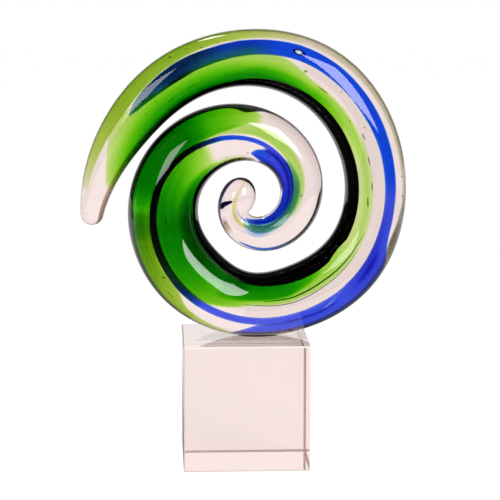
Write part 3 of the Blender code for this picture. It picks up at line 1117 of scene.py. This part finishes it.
BLUE_CURL = (
    (436, -0.66, -0.62), (438, -0.74, -0.50), (440, -0.80, -0.44), (443, -0.87, -0.38), (450, -0.90, -0.42),
    (460, -0.92, -0.52), (470, -0.93, -0.62), (480, -0.95, -0.72), (490, -0.96, -0.78), (500, -0.95, -0.80),
    (510, -0.93, -0.77), (515, -0.85, -0.72), (518, -0.75, -0.66), (520, -0.66, -0.62),
)
DARK_EDGE = (
    (48, -1.00, -0.93), (60, -1.02, -0.88), (88, -1.04, -0.83), (95, -1.04, -0.80), (100, -1.05, -0.78),
    (110, -1.05, -0.72), (120, -1.05, -0.67), (130, -1.05, -0.64), (150, -1.05, -0.63), (177, -1.05, -0.62),
    (200, -1.05, -0.62), (240, -1.05, -0.63), (243, -1.05, -0.67), (248, -1.05, -0.70), (253, -1.05, -0.68),
    (257, -1.05, -0.62), (266, -1.05, -0.60), (275, -1.05, -0.60), (285, -1.05, -0.63), (295, -1.05, -0.68),
    (305, -1.05, -0.72), (325, -1.05, -0.78), (345, -1.03, -0.82), (360, -1.02, -0.84), (375, -1.00, -0.85),
    (385, -1.00, -0.81), (400, -1.00, -0.80), (410, -1.00, -0.84), (425, -0.98, -0.89), (436, -0.96, -0.93),
)
OUTER_EDGE = (
    (364, 0.96, 1.02), (369, 0.86, 1.06), (372, 0.87, 1.06), (376, 0.89, 1.06), (400, 0.88, 1.06),
    (425, 0.90, 1.06), (428, 0.86, 1.06), (431, 0.76, 1.06), (433, 0.80, 1.06), (438, 0.93, 1.04),
    (443, 0.95, 1.03), (452, 0.94, 0.98), (470, 0.92, 0.96), (474, 0.87, 0.95), (476, 0.77, 0.93),
    (485, 0.76, 0.93), (497, 0.76, 0.93), (503, 0.77, 0.93), (509, 0.74, 0.88), (512, 0.70, 0.82),
    (514, 0.74, 0.78),
)
CURL_MARK = (
    (526.2, 0.78, 0.93), (527.2, 0.62, 0.97), (528.6, 0.35, 0.82), (529.4, 0.22, 0.45), (530.2, 0.22, 0.3),
)
# Painted shade: thin grey and dark green lines in the green, for dark lines that the rod bends into view.
GREY_SHADE_LINE = (
    (243, -0.195, -0.185), (255, -0.178, -0.15), (266, -0.15, -0.12), (275, -0.10, -0.065),
    (283, -0.065, -0.03), (290, -0.085, -0.05), (300, -0.135, -0.105), (308, -0.14, -0.13),
)
GREEN_SHADE_LINE = (
    (232, -0.225, -0.215), (240, -0.30, -0.275), (252, -0.315, -0.275), (266, -0.31, -0.26),
    (275, -0.265, -0.215), (283, -0.225, -0.18), (290, -0.245, -0.205), (298, -0.25, -0.24),
)

# Colours along the canes
BAND_COLOURS = (
    (50, SKY), (58, PETROL), (68, PETROL, NAVY), (78, NAVY), (92, PETROL, NAVY), (104, PETROL, DEEP_BLUE),
    (114, PETROL, DEEP_BLUE), (126, ROYAL), (206, ROYAL), (214, VIOLET_BLUE),
    (245, ULTRAMARINE, VIOLET_BLUE), (262, VIOLET_BLUE), (311, VIOLET_BLUE, ULTRAMARINE),
)
THREAD_COLOURS = (
    (326, VIOLET_BLUE), (335, NAVY), (345, BOTTLE), (364, BLACK), (402, BLACK), (413, NAVY), (421, ROYAL),
    (445, VIOLET_BLUE), (456, ULTRAMARINE), (475, ULTRAMARINE), (484, DEEP_BLUE), (510, DEEP_BLUE),
    (522, SKY),
)
CURL_COLOURS = (
    (436, ROYAL), (450, ULTRAMARINE, VIOLET_BLUE), (470, ULTRAMARINE), (484, DEEP_BLUE), (508, DEEP_BLUE),
    (520, SKY),
)
OUTER_COLOURS = ((438, BLACK), (446, VIOLET), (466, VIOLET), (474, BLACK), (492, BLACK), (504, DEEP_BLUE))

BLUES = (
    Cane("blue_band", Slot.BLUE, BLUE_BAND, BAND_COLOURS),
    Cane("blue_thread", Slot.BLUE, BLUE_THREAD, THREAD_COLOURS),
    Cane("blue_curl_band", Slot.BLUE, BLUE_CURL, CURL_COLOURS, point=3 * MM),
)
DARK_CANES_AND_SHADE_LINES = (
    Cane("dark_edge_band", Slot.DARK, DARK_EDGE, ((48, BLACK),), dense=True),
    Cane("outer_edge_thread", Slot.VIOLET, OUTER_EDGE, OUTER_COLOURS),
    Cane("curl_mark", Slot.DARK, CURL_MARK, ((526, MIDNIGHT),), packed=False, dense=True, point=1 * MM),
    # Painted shade, not canes: the two thin lines below.
    Cane("grey_stringer", Slot.DARK, GREY_SHADE_LINE, ((243, VIOLET),), packed=False, depth=0.5 * MM),
    Cane("green_stringer", Slot.GREEN, GREEN_SHADE_LINE, ((232, BOTTLE),), packed=False, depth=0.5 * MM),
)


@dataclass
class Flecks:
    """Small inclusions of one tone just under the rod's surface.

    Each row is the run of one in millimetres, its width on the rod, its length and breadth in millimetres,
    and its slant in degrees.
    """

    name: str
    slot: Slot
    finish: Finish
    rows: Course
    thickness: float = 0.35
    skin: float = 0.10 * MM
    roundness: int = 2

    def points(self, form: RodForm) -> bpy.types.Mesh:
        """Sets out the flecks on the rod.

        Args:
            form: The rod that they lie in.

        Returns:
            A mesh of one point for each, with its size and turn.
        """
        places, sizes, turns = [], [], []
        for along, width, length, breadth, slant in self.rows:
            run = np.array([along * MM])
            clock = clock_of(np.array([width]))
            deep = breadth * MM * self.thickness
            reach = form.radius(run) - self.skin - deep / 2
            here = form.place(run, clock, reach)[0]
            out = Vector(form.place(run, clock, reach + MM)[0] - here).normalized()
            ahead = Vector(form.place(run + MM, clock, reach)[0] - here).normalized()
            ahead.rotate(Quaternion(out, math.radians(slant)))
            side = out.cross(ahead).normalized()
            turns.append(Matrix((side.cross(out), side, out)).transposed().to_euler("XYZ"))
            places.append(here)
            sizes.append((length * MM, breadth * MM, deep))
        mesh = bpy.data.meshes.new(self.name + "_points")
        mesh.from_pydata([tuple(place) for place in places], [], [])
        write_vector(mesh, ScatterTree.SIZE, np.array(sizes))
        write_vector(mesh, ScatterTree.TURN, np.array(turns))
        return mesh

    def build(self, form: RodForm, tree: ScatterTree) -> bpy.types.Object:
        """Scatters the flecks and makes them one piece.

        Args:
            form: The rod that they lie in.
            tree: The nodes that scatter them.

        Returns:
            The finished piece.
        """
        glass = self.finish.build(self.name + "_glass")
        mesh = tree.run(self.points(form), self.roundness, glass)
        for name in (tree.SIZE, tree.TURN):
            if name in mesh.attributes:
                mesh.attributes.remove(mesh.attributes[name])
        return add_piece(self.name, mesh, glass)


DARK_FLECKS = (
    (80.5, 0.83, 1.5, 1.0, 20), (88, 0.70, 0.8, 0.5, 0), (66.5, 0.67, 0.6, 0.4, 0), (94, 0.69, 1.5, 0.5, 0),
    (101, 0.69, 1.0, 0.4, 0), (174, -0.27, 1.5, 0.4, 0), (184, -0.12, 3.5, 0.5, 0), (196, -0.20, 4.0, 0.5, 0),
    (209, -0.21, 4.5, 0.5, 0), (214, 0.83, 1.0, 1.4, 30), (345, 0.53, 2.0, 0.8, 50),
    (369, -0.08, 5.0, 0.5, 14), (404, 0.82, 1.2, 0.8, 0), (434, -0.63, 1.2, 0.5, 0),
    (476, -0.07, 1.0, 0.7, 0), (180, 0.03, 1.0, 0.5, 20), (153, -0.25, 6.0, 0.45, 0),
    (522, 0.72, 1.4, 0.9, 60),
)
GREEN_FLECKS = (
    (141, -0.03, 1.8, 1.1, 10), (160, 0.08, 0.8, 0.7, 0), (217, -0.33, 5.0, 0.9, 8), (338, 0.70, 4.0, 0.5, 0),
    (70, -0.47, 4.0, 0.5, 0), (83, -0.45, 6.0, 0.5, 4), (64, -0.13, 0.8, 0.7, 0), (102, -0.42, 1.5, 0.5, 0),
    (206, 0.82, 1.5, 1.6, 0), (420, -0.68, 1.6, 0.5, 0),
)
# Small seeds as pale dense specks: their paleness is a painted highlight, the glint of light on a bubble.
PALE_SEED_GLINTS = (
    (109, -0.67, 1.0, 0.8, 0), (35, -0.68, 0.8, 0.5, 0), (86, -0.71, 0.8, 0.5, 0), (469, -0.82, 1.8, 0.7, 0),
    (481, -0.53, 1.6, 0.7, 0), (447, -0.55, 1.2, 0.8, 0), (313, 0.37, 3.5, 0.5, 0), (251, 0.55, 1.0, 0.5, 0),
)
FLECKS = (
    Flecks("dark_flecks", Slot.DARK, Glass((104, 98, 72), 1.0), DARK_FLECKS),
    Flecks("green_flecks", Slot.GREEN, Glass((140, 180, 70), 1.0), GREEN_FLECKS),
    # Pale specks: seeds with a painted highlight.
    Flecks("pale_seeds", Slot.CLEAR, DenseGlass((220, 226, 240)), PALE_SEED_GLINTS),
)


@dataclass
class Rod:
    """The coiled clear rod, whose surface takes up part of each colour that lies under it."""

    sides: int = 128
    spacing: float = 0.85 * MM
    end_rings: int = 14
    weld: float = 0.002 * MM
    # Painted shade darkens the rod's colour at its rim, where it is seen edge on.
    finish: Finish = Glass(stained=True, streaks=0.2, painted_shade_rim=0.9)

    def path(self, form: RodForm) -> bpy.types.Mesh:
        """Lays out the middle line.

        Args:
            form: The rod's form.

        Returns:
            Its points and edges, with the rod's radius at each point.
        """
        length = float(form.runs[-1])
        runs = np.linspace(0, length, math.ceil(length / self.spacing))
        (tail, tail_radii), (curl, curl_radii) = form.ends(self.end_rings)
        places = np.concatenate([tail[::-1], form.read(form.middle, runs), curl])
        radii = np.concatenate([tail_radii[::-1], form.radius(runs), curl_radii])
        mesh = bpy.data.meshes.new("rod_path")
        edges = [(i, i + 1) for i in range(len(places) - 1)]
        mesh.from_pydata([(x, 0, z) for x, z in places], edges, [])
        held = mesh.attributes.new(SweepTree.RADIUS, "FLOAT", "POINT")
        held.data.foreach_set("value", radii.astype(np.float32))
        return mesh

    def build(self, form: RodForm) -> bpy.types.Object:
        """Sweeps the rod, grinds its foot flat and stores its stain, with painted shade by the foot, at every
        point.

        Args:
            form: The rod's form.

        Returns:
            The finished piece.
        """
        glass = self.finish.build("frond_glass")
        bm = bmesh.new()
        bm.from_mesh(SweepTree().run(self.path(form), self.sides, glass))
        bmesh.ops.remove_doubles(bm, verts=bm.verts, dist=self.weld)
        for vert in bm.verts:
            vert.co.z = max(vert.co.z, form.foot_height)
        bmesh.ops.recalc_face_normals(bm, faces=bm.faces)
        mesh = as_mesh(bm, "frond")
        run, clock = form.whereabouts(mesh_points(mesh))
        width = width_of(clock)
        # The painted shade by the foot comes in with the stains.
        stain_and_shade = sum(lay.density(run, width) for lay in STAINS_AND_FOOT_SHADE)
        stain_and_shade = stain_and_shade + sum(lay.density(run, width) for lay in GREEN_LAYS) * HALF
        blue = sum(cane.shade(run, width) for cane in BLUES)
        stain_and_shade = stain_and_shade + blue * BUBBLE.colour_left(run, width) * HALF
        write_vector(mesh, LOAD, stain_and_shade * TWICE)
        write_place(mesh, run, clock)
        return add_piece("clear_frond", mesh, glass, "clear_rod")


@dataclass
class GreenOverlay:
    """The broad thin overlay of green glass, with the olive, sea green and yellow that run out of it."""

    start: float = 10 * MM
    end: float = 541 * MM
    low: float = -0.975
    high: float = 1.1
    skin: float = 0.03 * MM
    thickness: float = 0.07 * MM
    spacing: float = 1.1 * MM
    across: int = 72
    finish: Finish = Glass(WHITE, 1.0, stained=True, streaks=0.2)

    def build(self, form: RodForm) -> bpy.types.Object:
        """Lofts the overlay along the rod and stores its density at every point.

        Args:
            form: The rod that it lies in.

        Returns:
            The finished piece.
        """
        runs = np.linspace(self.start, self.end, math.ceil((self.end - self.start) / self.spacing))
        clock = np.linspace(clock_of(self.low), clock_of(self.high), self.across + 1) + runs[:, None] * 0
        top = form.radius(runs)[:, None] - self.skin + clock * 0
        mesh, run, around = loft("green_overlay", form, runs, clock, top, top - self.thickness)
        load = sum(lay.density(run, width_of(around)) for lay in GREEN_LAYS)
        write_vector(mesh, LOAD, load * HALF)
        glass = self.finish.build("green_overlay_glass")
        return add_piece("green_overlay", mesh, glass, "green_overlay")


@dataclass
class BaseBlock:
    """The polished glass cube that carries the coil, with a narrow ground bevel on every edge."""

    bevel: float = 0.6 * MM
    flatness: float = 0.99
    polished: Finish = Glass((255, 236, 231))
    ground: Finish = GroundGlass((250, 232, 228), (238, 220, 216))

    def build(self) -> bpy.types.Object:
        """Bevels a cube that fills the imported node's box.

        Returns:
            The finished piece.
        """
        low, high = (Vector(corner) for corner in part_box("base_block"))
        bm = bmesh.new()
        bmesh.ops.create_cube(bm, size=1)
        bmesh.ops.scale(bm, vec=high - low, verts=bm.verts)
        bmesh.ops.translate(bm, vec=(low + high) / 2, verts=bm.verts)
        bmesh.ops.bevel(bm, geom=list(bm.edges), offset=self.bevel, segments=1, profile=0.5, affect="EDGES")
        bmesh.ops.recalc_face_normals(bm, faces=bm.faces)
        mesh = as_mesh(bm, "base_block")
        glass = self.polished.build("block_glass")
        piece = add_piece("polished_base_block", mesh, glass, "base_block")
        mesh.materials.append(self.ground.build("ground_bevel_glass"))
        for face in mesh.polygons:
            face.material_index = int(max(abs(part) for part in face.normal) < self.flatness)
        return piece


@dataclass
class BondFilm:
    """The film of clear adhesive between the ground foot and the block."""

    lift: float = 0.02 * MM
    sides: int = 64
    narrowing: float = 0.96
    finish: Finish = Glass((253, 251, 247), 1.45, roughness=0.02)

    def build(self) -> bpy.types.Object:
        """Makes an oval film, a hair clear of both glasses.

        Returns:
            The finished piece.
        """
        low, high = (Vector(corner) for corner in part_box("bond_layer"))
        size = high - low
        bm = bmesh.new()
        bmesh.ops.create_cone(
            bm, cap_ends=True, segments=self.sides, radius1=1, radius2=self.narrowing, depth=1
        )
        bmesh.ops.scale(bm, vec=(size.x / 2, size.y / 2, size.z - 2 * self.lift), verts=bm.verts)
        bmesh.ops.translate(bm, vec=(low + high) / 2, verts=bm.verts)
        glue = self.finish.build("clear_adhesive")
        return add_piece("bond_film", as_mesh(bm, "bond_film"), glue, "bond_layer")


@dataclass(frozen=True)
class Rays:
    """What a ray has met on its way: numbers of 0 or 1 for a material or the world to choose by."""

    camera: Socket
    glossy: Socket
    through: Socket
    relayed: Socket

    @classmethod
    def read(cls, graph: Graph) -> "Rays":
        """Reads them. A ray is relayed when it was mirrored and then went through the whole rod.

        Args:
            graph: The graph that asks.

        Returns:
            The four numbers.
        """
        outputs = graph.node("ShaderNodeLightPath").link.node.outputs
        kinds = ("Is Camera Ray", "Is Glossy Ray", "Is Transmission Ray")
        names = (*kinds, "Glossy Depth", "Transmission Depth")
        camera, glossy, through, mirrors, glasses = (Socket(graph, outputs[name]) for name in names)
        relayed = graph.maths("GREATER_THAN", mirrors, 0.5) * graph.maths("GREATER_THAN", glasses, 3.5)
        return cls(camera, glossy, through, relayed)


def towards(azimuth: float, elevation: float) -> Vector:
    """Unit vector from the object to where a light or the camera stands, by its angles in degrees."""
    turn, rise = math.radians(azimuth), math.radians(elevation)
    return Vector((math.sin(turn) * math.cos(rise), -math.cos(turn) * math.cos(rise), math.sin(rise)))


@dataclass
class SoftBox:
    """One soft studio light."""

    name: str
    azimuth: float
    elevation: float
    distance: float
    width: float
    height: float
    twist: float
    power: float
    aim: tuple[float, float, float] = (0.0, 0.0, 0.12)

    def build(self) -> None:
        """Places the light and turns it to the object."""
        light = bpy.data.lights.new(self.name, "AREA")
        light.shape = "RECTANGLE"
        light.size, light.size_y = self.width, self.height
        light.energy = self.power
        lamp = add_object(self.name, light)
        away = towards(self.azimuth, self.elevation)
        lamp.location = Vector(self.aim) + away * self.distance
        lamp.rotation_mode = "QUATERNION"
        lamp.rotation_quaternion = Quaternion(away, math.radians(self.twist)) @ away.to_track_quat("Z", "Y")
        lamp.visible_camera = False
        lamp.visible_transmission = False


@dataclass
class Studio:
    """White floor and surroundings, three soft boxes, and the camera at the photograph's angle.

    Levels are shares of white. A pair says where something begins and where it is full: in metres behind the
    object for floor_behind, and otherwise as the world's coordinates run, from 0 in the middle to 1.
    """

    target: tuple[float, float, float] = (0.002621, 0.0, 0.101464)
    distance: float = 0.9534
    azimuth: float = -2.597
    elevation: float = 8.524
    focal_pixels: float = 1985.13
    image_pixels: float = 500.0
    sensor: float = 36.0
    floor_size: float = 4.0
    floor_gap: float = 0.2 * MM
    floor_glow: float = 0.94
    floor_through: float = 0.9
    floor_relayed: float = 0.06
    floor_mirrored: float = 0.03
    floor_behind: tuple[float, float] = (-0.05, 0.35)
    matt: float = 0.85
    matt_seen: float = 0.16
    matt_mirrored: float = 0.01
    room: float = 0.35
    room_flags: float = 0.2
    room_mirrored: float = 0.02
    bright_back: tuple[float, float] = (0.8, 1.0)
    open_ahead: tuple[float, float] = (0.2, 0.6)
    open_sideways: tuple[float, float] = (0.95, 0.985)
    boxes: tuple[SoftBox, ...] = field(
        default_factory=lambda: (
            SoftBox("key_left", -33.5, 22.5, 1.4, 0.42, 0.60, 13, 4.1),
            SoftBox("key_right", 36.7, 28, 1.4, 0.62, 0.93, -4, 16.3),
            SoftBox("rim_back", -161, 54.5, 1.2, 0.12, 0.20, 0, 0.9),
        )
    )

    def build(self) -> None:
        """Builds all of it."""
        self.world()
        self.floor()
        for box in self.boxes:
            box.build()
        self.camera()
        bpy.context.scene.view_settings.view_transform = "Standard"

    def world(self) -> None:
        """White to the eye and through glass, with dark flags between, and a dark room in mirrors."""
        world = bpy.data.worlds.new("studio")
        bpy.context.scene.world = world
        world.use_nodes = True
        graph = Graph(world.node_tree)
        rays = Rays.read(graph)
        x, y, _ = graph.split(graph.node("ShaderNodeTexCoord", out="Generated"))
        sideways, ahead = (graph.maths("ABSOLUTE", part) for part in (x, y))
        mirrored = y.ramp(*self.bright_back).choose(self.room_mirrored, 1.0)
        open_way = graph.maths("MAXIMUM", ahead.ramp(*self.open_ahead), sideways.ramp(*self.open_sideways))
        level = rays.camera.choose(self.room, 1.0)
        level = rays.glossy.choose(level, mirrored)
        level = rays.through.choose(level, open_way.choose(self.room_flags, 1.0))
        level = rays.relayed.choose(level, mirrored)
        background = graph.node("ShaderNodeBackground", sockets={"Color": (1, 1, 1, 1), "Strength": level})
        graph.node("ShaderNodeOutputWorld", sockets={"Surface": background})

    def floor(self) -> None:
        """A plain white floor."""
        bm = bmesh.new()
        bmesh.ops.create_grid(bm, x_segments=1, y_segments=1, size=self.floor_size)
        bmesh.ops.translate(bm, vec=(0, 0, -self.floor_gap), verts=bm.verts)
        mesh = as_mesh(bm, "floor")
        made, graph = material("floor_white")
        rays = Rays.read(graph)
        _, back, _ = graph.split(graph.node("ShaderNodeNewGeometry", out="Position"))
        level = rays.glossy * back.ramp(*self.floor_behind).choose(self.floor_mirrored, 1.0)
        level = rays.through.choose(level, self.floor_through)
        level = rays.relayed.choose(level, self.floor_relayed)
        level = rays.camera.choose(level, 1.0)
        matt = rays.glossy.choose(self.matt, self.matt_mirrored)
        matt = graph.maths("MAXIMUM", rays.camera, rays.through).choose(matt, self.matt_seen)
        matt = rays.relayed.choose(matt, self.matt_mirrored)
        dull = graph.node("ShaderNodeBsdfDiffuse", sockets={"Color": matt})
        glow_sockets = {"Color": (1, 1, 1, 1), "Strength": level * self.floor_glow}
        glow = graph.node("ShaderNodeEmission", sockets=glow_sockets)
        shader = graph.node("ShaderNodeAddShader", sockets={0: dull, 1: glow})
        graph.node("ShaderNodeOutputMaterial", sockets={"Surface": shader})
        mesh.materials.append(made)
        add_object("floor", mesh)

    def camera(self) -> None:
        """A camera at the photograph's viewing angle."""
        data = bpy.data.cameras.new("camera")
        data.sensor_width = self.sensor
        data.lens = self.focal_pixels * self.sensor / self.image_pixels
        made = add_object("camera", data)
        back = towards(self.azimuth, self.elevation)
        made.location = Vector(self.target) + back * self.distance
        made.rotation_mode = "QUATERNION"
        made.rotation_quaternion = (-back).to_track_quat("-Z", "Y")
        bpy.context.scene.camera = made


def report(piece: bpy.types.Object) -> None:
    """Says that a piece is finished."""
    LOG.info("%s: %d faces", piece.name, len(piece.data.polygons))


def main() -> None:
    """Builds the ornament piece by piece, reports each, and then builds the studio."""
    logging.basicConfig(level=logging.INFO, format="%(name)s: %(message)s")
    form = RodForm(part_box("bond_layer")[1][2])
    report(BaseBlock().build())
    report(BondFilm().build())
    for part in (Rod(), GreenOverlay(), *BLUES, *DARK_CANES_AND_SHADE_LINES):
        report(part.build(form))
    scatter = ScatterTree()
    for flecks in FLECKS:
        report(flecks.build(form, scatter))
    report(BUBBLE.build(form))
    Studio().build()


if __name__ == "__main__":
    main()
